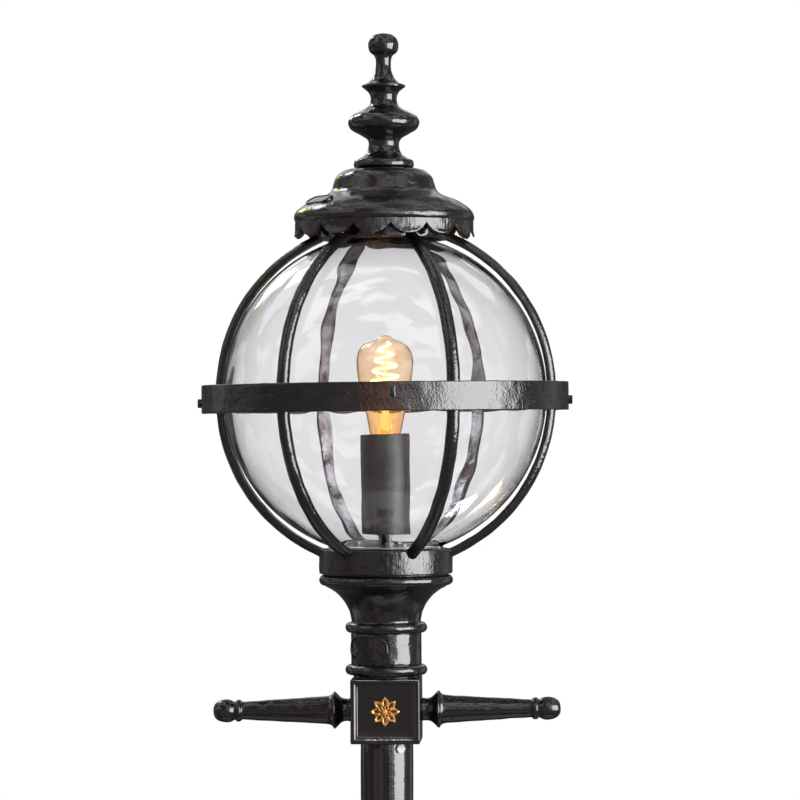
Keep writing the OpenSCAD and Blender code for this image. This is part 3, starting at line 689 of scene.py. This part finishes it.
def bulb():
    cap_top = -55
    outside = curve([(12.6, cap_top), (18.5, -45), (22.6, -21), (28.8, 8), (32.2, 33), (31.6, 44),
                     (28.4, 52.5), (22.6, 58.6), (15.5, 61.8), (10.4, 63.2), (8.0, 65.2), (4.6, 67.2),
                     (0, 67.6)], 8)
    inside = [(max(r - 0.9, 0), z - 0.7 * max(0, (z - 40) / 28)) for r, z in reversed(outside)]
    shape = lathe(outside + inside, 128, LAMP_Z, True)
    piece("bulb_envelope", *shape, "bulb", ["bulb_glass"], AMBER, "amber_glass", None, math.radians(60))
    foot = cap_top + 0.5
    stem = curve([(11.2, foot), (9.5, -47), (7.8, -36), (5.5, -24), (2.6, -14), (1.6, -4), (1.5, 24),
                  (1.5, 47), (0, 48)])
    piece("bulb_stem", *lathe([(0, foot)] + stem, 48, LAMP_Z), "bulb", [], AMBER_STEM, "amber_glass")
    threads = []
    for k in range(6):
        z = -76 + 3.6 * k
        threads += [(12.3, z - 0.9), (13.15, z + 0.2), (13.15, z + 0.8), (12.3, z + 1.8)]
    cap = [(0, -85), (4.5, -84.8), (5, -84), (9, -82), (12.3, -79)] + threads
    cap += [(12.4, cap_top), (0, cap_top)]
    piece("bulb_screw_cap", *lathe(rounded(cap, 0.4, 2), 64, LAMP_Z), "bulb", ["bulb_cap"], BRASS, "brass")
    filament()


def filament():
    """A glowing spiral round the stem, widest at its foot, with its lead wires."""
    turns, steps = 5.1, 40
    route = []
    for i in range(int(turns * steps) + 1):
        t = i / (turns * steps)
        a = 2 * math.pi * turns * t + 0.6
        r = 17.5 - 12.5 * t**1.4
        route.append((r * math.cos(a), r * math.sin(a), LAMP_Z - 4 + 63 * t**0.95))
    coil = tube(route, 1.4, 10)
    piece("filament_coil", *coil, "bulb", ["bulb_filament"], GLOW, "glow")
    first, last = route[0], route[-1]
    wires = join(
        tube([(3, 0, LAMP_Z - 38), (5, 1, LAMP_Z - 24), (9, 4, LAMP_Z - 12), first], 0.35, 6),
        tube([last, (4, -2, last[2] + 3), (0.5, 0, last[2] - 1), (0.5, 0, LAMP_Z + 44)], 0.35, 6))
    piece("filament_wires", *wires, "bulb", [], ZINC, "zinc")


def holder():
    low, top, r = -158, -45, 27.7
    outline = rounded([(6, low), (r, low), (r, top), (20.5, top), (20.5, top - 1.5), (r - 1.5, top - 1.5),
                       (r - 1.5, low + 2), (6, low + 2)], 0.7, 3, True)
    piece("shroud_can", *lathe(spaced(outline, 3, True), 128, LAMP_Z, True), "column", ["holder_shroud"],
          SHROUD, "grey_shroud", (18, 0.06, 8))
    pillar_turn = -63
    shaft = lathe(rounded([(0, -172), (2.8, -172), (2.8, -92), (0, -92)], 0.3, 2), 24, LAMP_Z)
    nut = placed(hexagon(4.6, 3), shift(0, 0, LAMP_Z - 160.5))
    foot = placed(hexagon(4.6, 3.5), shift(0, 0, LAMP_Z - 172))
    one = placed(join(shaft, nut, foot), shift(10, 0, 0))
    piece("holder_pillar_pair", *around(one, 2, pillar_turn), "column", ["holder_pillars"], ZINC, "zinc")


def gallery_plate():
    low, high = -175, -172
    outline = rounded([(6, low), (60, low), (60, high), (6, high)], 0.6, 3, True)
    piece("gallery_plate_disc", *lathe(spaced(outline, 4, True), 96, LAMP_Z, True), "column",
          ["gallery_plate"], ZINC, "zinc")
    screw = placed(hexagon(4, 3.5), shift(33, 0, LAMP_Z + high))
    stem = lathe([(0, -203.5), (2.5, -203.5), (2.5, high), (0, high)], 24, LAMP_Z)
    one = join(screw, placed(stem, shift(33, 0, 0)))
    piece("plate_hex_screws", *around(one, 3, 36 - 90), "column", ["plate_screws"], ZINC, "zinc")


# ------------------------------------------------------------------ neck


def drum():
    r, top, low = 76, -175.6, -203.5
    outline = rounded([(20, -205), (71, -205), (71, low), (r, low), (r, top), (r - 4.5, top),
                       (r - 4.5, low + 5), (20, low + 5)], 1.5, 4, True)
    piece("gallery_cup", *lathe(spaced(outline, 2.2, True), SPOKES, LAMP_Z, True), "column", ["gallery_drum"],
          PAINT_DRUM, "black_paint", (12, 0.12, 9))


def neck():
    """Turned casting with a bead at each end of its straight part and one under the drum."""
    outline = [(15, -342), (15, -322), (37.4, -322), (37.4, -319.4)] + arc((40.7, -313), 6, -100, 100, 12)
    outline += [(40.2, -306), (40.2, -272)] + arc((40.7, -265), 6, -100, 100, 12)
    outline += curve([(39.4, -257.5), (42, -246), (48, -235), (56.8, -225.4), (67.9, -218.6)])
    outline += arc((70.3, -211), 6, -95, 95, 12) + [(69, -204.9), (15, -204.9)]
    outline = rounded(outline, 0.8, 2, True, 40)
    piece("neck_turning", *lathe(spaced(outline, 2.2, True), 160, LAMP_Z, True), "column", ["neck_casting"],
          PAINT_CAST, "black_paint", (12, 0.1, 10))


def neck_badge():
    """A plain oval badge with a raised rim, bent round the neck."""
    flat, faces = oval_plate(54, 30, 3.2, 2.4, 1.6)
    radius, turn, z = 40.0, math.radians(-35 - 90), -288
    x, y, tall = flat[:, 0], flat[:, 1], flat[:, 2]
    a = turn + x / (radius + 1)
    out = radius + tall
    points = np.stack([out * np.cos(a), out * np.sin(a), y + z + LAMP_Z], axis=-1)
    piece("neck_badge_plain", points, faces, "column", ["neck_badge"], PAINT_CAST, "black_paint",
          (5, 0.12, 11))


# ------------------------------------------------------------------ ladder rest


BLOCK_TOP, BLOCK_W, BLOCK_H = -322.1, 78.5, 73.0
BLOCK_TURN = -3.0           # degrees
BAR_LEAN = -0.4             # degrees


def on_block(side=0):
    """Where things on the turned block stand, at the height of its middle."""
    return shift(0, 0, LAMP_Z + BLOCK_TOP - BLOCK_H / 2) @ spin(BLOCK_TURN) @ spin(side)


def block():
    """The square block with a moulded panel in its front and back, on its two round spigots."""
    low = BLOCK_TOP - BLOCK_H
    body = placed(block_shape(BLOCK_W, BLOCK_H), on_block())
    lower = spigot(25.9, low - 55, low + 1)
    upper = spigot(19.8, BLOCK_TOP - 1, BLOCK_TOP + 20)
    piece("block_casting", *join(body, lower, upper), "column", ["ladder_block"], PAINT_FLAT, "black_paint",
          (20, 0.04, 12))


def spigot(r, low, high):
    return lathe(rounded([(12, low), (r, low), (r, high), (12, high)], 0.8, 2, True), 64, LAMP_Z, True)


def block_shape(w, h):
    """A square block with rounded edges, whose front and back are sunk in two small steps."""
    border, edge = 4.2, 1.5
    bm = bmesh.new()
    bmesh.ops.create_cube(bm, size=1.0)
    bmesh.ops.scale(bm, vec=(w, w, h), verts=bm.verts)
    bmesh.ops.bevel(bm, geom=list(bm.edges), offset=edge, segments=4, profile=0.5, affect="EDGES")
    for way in (-1, 1):
        face = max(bm.faces, key=lambda f: f.normal.y * way * f.calc_area())
        for inset, depth in ((border - edge, 0), (1.9, -1.0), (1.3, 0), (1.0, -0.5)):
            bmesh.ops.inset_region(bm, faces=[face], thickness=inset, depth=depth, use_even_offset=True)
    within = (w / 2 - 3, h / 2 - 3)
    steps = [e for e in bm.edges if all(abs(v.co.x) < within[0] and abs(v.co.z) < within[1] for v in e.verts)]
    bmesh.ops.bevel(bm, geom=steps, offset=0.3, segments=2, profile=0.5, affect="EDGES")
    wide = [e for e in bm.edges if e.calc_length() > 8]
    bmesh.ops.subdivide_edges(bm, edges=wide, cuts=6, use_grid_fill=True)
    points = [tuple(v.co) for v in bm.verts]
    faces = [tuple(v.index for v in f.verts) for f in bm.faces]
    bm.free()
    return np.array(points), faces


def petal(length, width, tall, hollow):
    """A pointed petal along +X on z = 0 with a raised rim, as a grid of points."""
    rows, columns = 19, 15
    ridge = 0.74            # where the rim is highest, from 0 in the middle to 1 at the edge
    points = []
    for i in range(rows):
        t = i / (rows - 1)
        x = length * (0.14 + 0.86 * t)
        half = width / 2 * petal_half(t)
        for j in range(columns):
            v = -1 + 2 * j / (columns - 1)
            out = max(abs(v), min(1.0, max(0.0, (t - 0.45) / 0.5)))
            rim = math.exp(-((out - ridge) / 0.17) ** 2)
            foot = 1 - max(0.0, (out - ridge) / (1 - ridge)) ** 2
            dip = hollow / 2 * max(0.0, 1 - (out / 0.7) ** 2)
            z = 0.25 + tall * (0.3 + 0.7 * rim) * max(foot, 0) - dip
            points.append((x, v * half, max(z, 0.05)))
    return np.array(points), grid_faces(rows, columns)


def petal_half(t):
    """A petal's half width along its length, from 0 at the middle of the flower to 1 at its tip."""
    if t < 0.55:
        return 0.4 + 0.6 * math.sin(math.pi / 2 * t / 0.55)
    return max(0.03, 1 - ((t - 0.55) / 0.45) ** 1.5)


def painted_shade_almond(length, width, z):
    """A thin dark almond laid in a petal's hollow as painted shade."""
    steps = np.linspace(0.4, 0.88, 9)
    rows = []
    for t in steps:
        half = width / 2 * 0.36 * math.sin(math.pi * (t - 0.34) / 0.57) ** 0.9
        rows += [(length * t, v * half, z + 0.35 * (1 - v * v)) for v in (-1, -0.5, 0, 0.5, 1)]
    return np.array(rows), grid_faces(len(steps), 5)


def rosettes():
    """Gilt flowers in the block's front and back, with painted shade: dark almonds laid in their hollows."""
    outer, inner = (16.8, 8.6, 2.4, 1.6), (8.6, 4.4, 1.7, 1.0)
    panel_depth = 1.5
    button = lathe(curve([(2.0, 2.6), (2.7, 3.4), (2.1, 4.6), (0, 5.0)]), 24)
    flower = join(around(petal(*outer), 8), placed(around(petal(*inner), 8, 22.5), shift(0, 0, 2.0)), button)
    # Painted shade: dark almonds over the hollows of the outer and inner petals.
    low, high = painted_shade_almond(outer[0], outer[1], 0.4), painted_shade_almond(inner[0], inner[1], 2.35)
    shade = join(around(low, 8), around(high, 8, 22.5))
    front = shift(0, panel_depth - BLOCK_W / 2, 0.3) @ spin(90, "X")
    seats = [on_block(side) @ front for side in (0, 180)]
    piece("rosette_flowers", *join(*[placed(flower, seat) for seat in seats]), "column", ["rosettes"], GILT,
          "gilt", None, math.radians(50))
    piece("rosette_hollows", *join(*[placed(shade, seat) for seat in seats]), "column", [], PAINT_FLAT,
          "black_paint")


def ladder_bars():
    """A turned bar on each side of the block, from a wide foot past a collar to a ball."""
    length = 159
    outline = curve([(12.6, 0), (13.2, 2.5), (12.8, 6), (14.2, 12), (20.4, 18.6)])
    outline += curve([(21.2, 19.6), (20.9, 20.9), (17.6, 23.6), (16.1, 29), (15.4, 38)])
    outline += [(10.1, length - 34)]
    outline += curve([(10.8, length - 32.4), (12.3, length - 30.8), (12.3, length - 27.2),
                      (10.5, length - 25.4)])
    outline += curve([(10.4, length - 24.4), (12.8, length - 19), (12.9, length - 12), (10.6, length - 5),
                      (6, length - 1), (0, length)])
    shape = lathe(spaced(outline, 2), 96)
    middle_line = shift(0, 0, BAR_Z + LAMP_Z) @ spin(BLOCK_TURN) @ spin(BAR_LEAN, "Y")
    for side, name in ((180, "left"), (0, "right")):
        lying = middle_line @ spin(side) @ shift(BLOCK_W / 2, 0, 0) @ spin(90, "Y")
        piece(f"ladder_bar_turning_{name}", *placed(shape, lying), "column", [f"ladder_bar_{name}"],
              PAINT, "black_paint", (14, 0.1, 13 + side))


# ------------------------------------------------------------------ tube


def tube_and_bolts():
    low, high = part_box("post_tube")
    top, bottom = high.z / MM, low.z / MM
    r = 30
    outline = rounded([(r - 4, bottom), (r, bottom), (r, top), (r - 4, top)], 0.6, 2, True)
    piece("post_pipe", *lathe(spaced(outline, 12, True), 128, 0, True), "column", ["post_tube"], PAINT_TUBE,
          "black_paint", (60, 0.12, 14))
    head = hexagon(5, 4.2)
    lying = shift(r, 0, LAMP_Z + BLOCK_TOP - BLOCK_H - 5.9) @ spin(90, "Y")
    shape = around(placed(bolt(head, 3, 10), lying), 2, 28.5 - 90)
    piece("set_bolts", *shape, "column", ["tube_set_bolts"], GALVANISED, "zinc")


# ------------------------------------------------------------------ nodes kept as they are


def keep(node, material, edge):
    """A CAD node keeps its shape and gets its material, and edges softened by this many millimetres."""
    o = frame["nodes"][node]
    if "custom_normal" in o.data.attributes:
        o.data.attributes.remove(o.data.attributes["custom_normal"])
    o.data.materials.clear()
    o.data.materials.append(material)
    weld = o.modifiers.new("weld", "WELD")
    weld.merge_threshold = 1e-6
    if edge:
        bevel = o.modifiers.new("soft_edges", "BEVEL")
        bevel.width = edge * MM
        bevel.segments = 3
        bevel.limit_method = "ANGLE"
        bevel.angle_limit = math.radians(40)
        bevel.harden_normals = False
    o.data.shade_smooth()
    o.data.set_sharp_from_angle(angle=SHARP)


KEPT = {
    "base_flange": (PAINT_FLAT, 1.5), "pedestal": (PAINT_FLAT, 1.2), "door_hinge_pins": (ZINC, 0.3),
    "backboard": (BOARD, 0.5), "cutout_box": (WHITE_PLASTIC, 1.0), "isolator_pin": (ZINC, 0.2),
    "cable_gland": (BLACK_PLASTIC, 0.5), "earth_stud": (BRASS, 0.3), "shaft_base": (PAINT_CAST, 0),
    "fluted_shaft": (PAINT_CAST, 0.8), "shaft_collar": (PAINT_CAST, 0), "collar_screws": (PAINT, 0.3),
    "bar_studs": (ZINC, 0.3), "globe_gasket": (RUBBER, 0.3), "plate_spacers": (ZINC, 0.3),
    "lamp_holder": (PORCELAIN, 0.4), "holder_shell": (BRASS, 0.2), "supply_flex": (BLACK_PLASTIC, 0),
    "door": (PAINT_FLAT, 0.6), "door_lock": (ZINC, 0.4), "isolator_lever": (RED_PLASTIC, 0.5),
    "canopy_spacers": (ZINC, 0.3), "finial_stud": (PAINT, 0.3),
}


# ------------------------------------------------------------------ camera, light and floor


def camera():
    """Level with the lantern and a little below the globe's middle, as a person with a long lens."""
    distance, drop = 4000.0, 37.0
    aim = Vector((17.0, 0.0, LAMP_Z - 6.3)) * MM
    at = Vector((0.0, -distance, LAMP_Z - drop)) * MM
    data = bpy.data.cameras.new("camera")
    data.lens, data.sensor_width = 157.9, 36.0
    data.clip_start, data.clip_end = 0.1, 60
    made = bpy.data.objects.new("camera", data)
    made.location = at
    made.rotation_mode = "QUATERNION"
    lean = Quaternion((0, 0, 1), math.radians(-0.3))
    made.rotation_quaternion = (aim - at).to_track_quat("-Z", "Y") @ lean
    bpy.context.scene.collection.objects.link(made)
    bpy.context.scene.camera = made


def link_light(light, pieces, state="EXCLUDE"):
    """Leaves the pieces out of what a light reaches, as a flag in front of it would, or with the state
    INCLUDE aims it at them alone."""
    receivers = bpy.data.collections.new(light.name + "_receivers")
    light.light_linking.receiver_collection = receivers
    for one in pieces:
        receivers.objects.link(bpy.data.objects[one])
    for item in receivers.collection_objects:
        item.light_linking.link_state = state


def softbox(name, azimuth, elevation, distance, size, power, colour=(1, 1, 1)):
    """An area light that faces the lantern, from an azimuth in degrees that starts on the camera's side
    and grows towards +X."""
    a, e = math.radians(azimuth), math.radians(elevation)
    way = Vector((math.sin(a) * math.cos(e), -math.cos(a) * math.cos(e), math.sin(e)))
    data = bpy.data.lights.new(name, "AREA")
    data.shape = "RECTANGLE"
    data.size, data.size_y = size
    data.energy, data.color = power, colour
    made = bpy.data.objects.new(name, data)
    made.location = Vector((0, 0, LAMP_Z)) * MM + way * distance
    made.rotation_euler = way.to_track_quat("Z", "Y").to_euler()
    made.visible_camera = False
    bpy.context.scene.collection.objects.link(made)
    return made


def lights():
    """A window to the right, two lamps in the room behind, lights for single pieces and the bulb's glow."""
    key = softbox("key", 55, 0, 2.4, (2.15, 1.8), 155)
    edges = [softbox("key_edge", 14, 0, 2.4, (0.07, 1.5), 2.2, (0.72, 0.82, 1.0)),
             softbox("key_edge_2", 23, 0, 2.4, (0.10, 1.5), 3.2, (0.75, 0.84, 1.0))]
    glazing = ["globe_glass", "bulb_envelope"]
    for light in (key, *edges):
        link_light(light, glazing)
    softbox("window_left", -139, 44, 2.6, (0.5, 0.45), 9, (0.82, 0.9, 1.0))
    softbox("window_warm", -150, 27, 2.6, (0.4, 0.5), 6, (1.0, 0.78, 0.32))
    flare = softbox("flare", -2, 0, 2.4, (0.75, 0.6), 2.4, (1.0, 0.36, 0.12))
    link_light(flare, ["band_strap"], "INCLUDE")
    card = softbox("front_card", 12, 6, 2.4, (2.0, 1.4), 10)
    link_light(card, ["canopy_casting", "skirt_of_scallops"], "INCLUDE")
    over = softbox("over_block", 0, 45, 2.4, (1.2, 0.7), 60)
    link_light(over, ["block_casting"], "INCLUDE")
    lamp_glow(glazing)


def lamp_glow(glazing):
    """The bulb's light on what is round it. The ribs are left out of its light and the glowing glass's, so
    that the painted sheen on their inner faces stays grey.
    """
    data = bpy.data.lights.new("lamp_glow", "POINT")
    data.energy, data.color, data.shadow_soft_size = 8.0, (1.0, 0.5, 0.16), 0.012
    made = bpy.data.objects.new("lamp_glow", data)
    made.location = (0, 0, (LAMP_Z + 24) * MM)
    made.visible_camera = made.visible_transmission = False
    bpy.context.scene.collection.objects.link(made)
    rib_bars = [f"{side}_rib_bar_{k + 1}" for side in ("upper", "lower") for k in range(6)]
    link_light(made, rib_bars + glazing)
    for name in ("filament_coil", "bulb_envelope", "bulb_stem"):
        link_light(bpy.data.objects[name], rib_bars)


def world():
    """White to the camera. What the paint mirrors is pale behind the lamp and dim on the camera's side."""
    made = bpy.data.worlds.new("studio")
    made.use_nodes = True
    w = Nodes(made.node_tree)
    at = w.add("ShaderNodeTexCoord").outputs["Generated"]

    def cloud(scale, detail, low, high, vector=at):
        noise = w.add("ShaderNodeTexNoise", {"Vector": vector, "Scale": scale, "Detail": detail})
        return w.spread(noise.outputs["Fac"], low, high)

    x, y, z = w.add("ShaderNodeSeparateXYZ", {0: at}).outputs
    smooth = {"interpolation_type": "SMOOTHSTEP"}
    back = w.spread(y, -0.1, 0.45, **smooth)
    height = w.spread(z, -0.2, 0.9)
    aside = w.spread(w.maths("ABSOLUTE", x), 0.55, 0.85, 0.0, 0.5, **smooth)
    pale = w.maths("MAXIMUM", w.spread(z, 0.05, 0.4, **smooth), aside)
    patch = cloud(2.8, 1.0, 0.38, 0.66)
    tint = cloud(2.1, 2.0, 0.45, 0.58)
    beams = cloud(1.7, 2.0, 0.50, 0.54, w.vector("MULTIPLY", at, (1.0, 2.4, 2.4)))
    coloured = w.blend(tint, (0.62, 0.48, 0.46), (0.48, 0.48, 0.43))
    low_front = w.blend(patch, (0.15, 0.13, 0.15), coloured)
    dull = w.blend(tint, (0.24, 0.11, 0.12), (0.20, 0.20, 0.16))
    high_front = w.blend(beams, dull, (2.4, 2.35, 2.4))
    front = w.blend(height, low_front, high_front)
    sky = w.blend(beams, (0.25, 0.24, 0.22), (1.3, 1.3, 1.35))
    room = w.blend(back, front, w.blend(pale, (0.08, 0.077, 0.07), sky))
    path = w.add("ShaderNodeLightPath").outputs
    first = w.maths("LESS_THAN", w.maths("ADD", path["Diffuse Depth"], path["Glossy Depth"]), 0.5)
    through = w.maths("MULTIPLY", path["Is Transmission Ray"], first)
    seen = w.blend(through, room, (0.90, 0.90, 0.92))
    final = w.blend(path["Is Camera Ray"], seen, (1, 1, 1))
    light = w.add("ShaderNodeBackground", {"Color": final, "Strength": 1.0})
    w.add("ShaderNodeOutputWorld", {"Surface": light.outputs[0]})
    bpy.context.scene.world = made


def floor():
    """A pale disc just under the flange."""
    mesh = bpy.data.meshes.new("floor")
    radius, drop, sides = 0.8, 0.0005, 96
    angles = [k * 2 * math.pi / sides for k in range(sides)]
    ring = [(radius * math.cos(a), radius * math.sin(a), -drop) for a in angles]
    mesh.from_pydata(ring, [], [tuple(range(sides))])
    made = bpy.data.objects.new("floor", mesh)
    s = Shader("pale_floor")
    tone = s.blend(s.spread(s.noise(3, 3), 0.3, 0.7), (0.42, 0.41, 0.40), (0.36, 0.355, 0.35))
    mesh.materials.append(s.done(s.principled(Base_Color=tone, Roughness=0.75)))
    bpy.context.scene.collection.objects.link(made)


camera()
world()
floor()
finial()
canopy()
canopy_skirt()
canopy_badge()
crown_ring()
ribs()
band()
band_bolts()
globe()
bulb()
holder()
gallery_plate()
drum()
neck()
neck_badge()
block()
rosettes()
ladder_bars()
tube_and_bolts()
for node, (material, edge) in KEPT.items():
    keep(node, material, edge)
lights()

bpy.context.scene.view_settings.view_transform = "Standard"
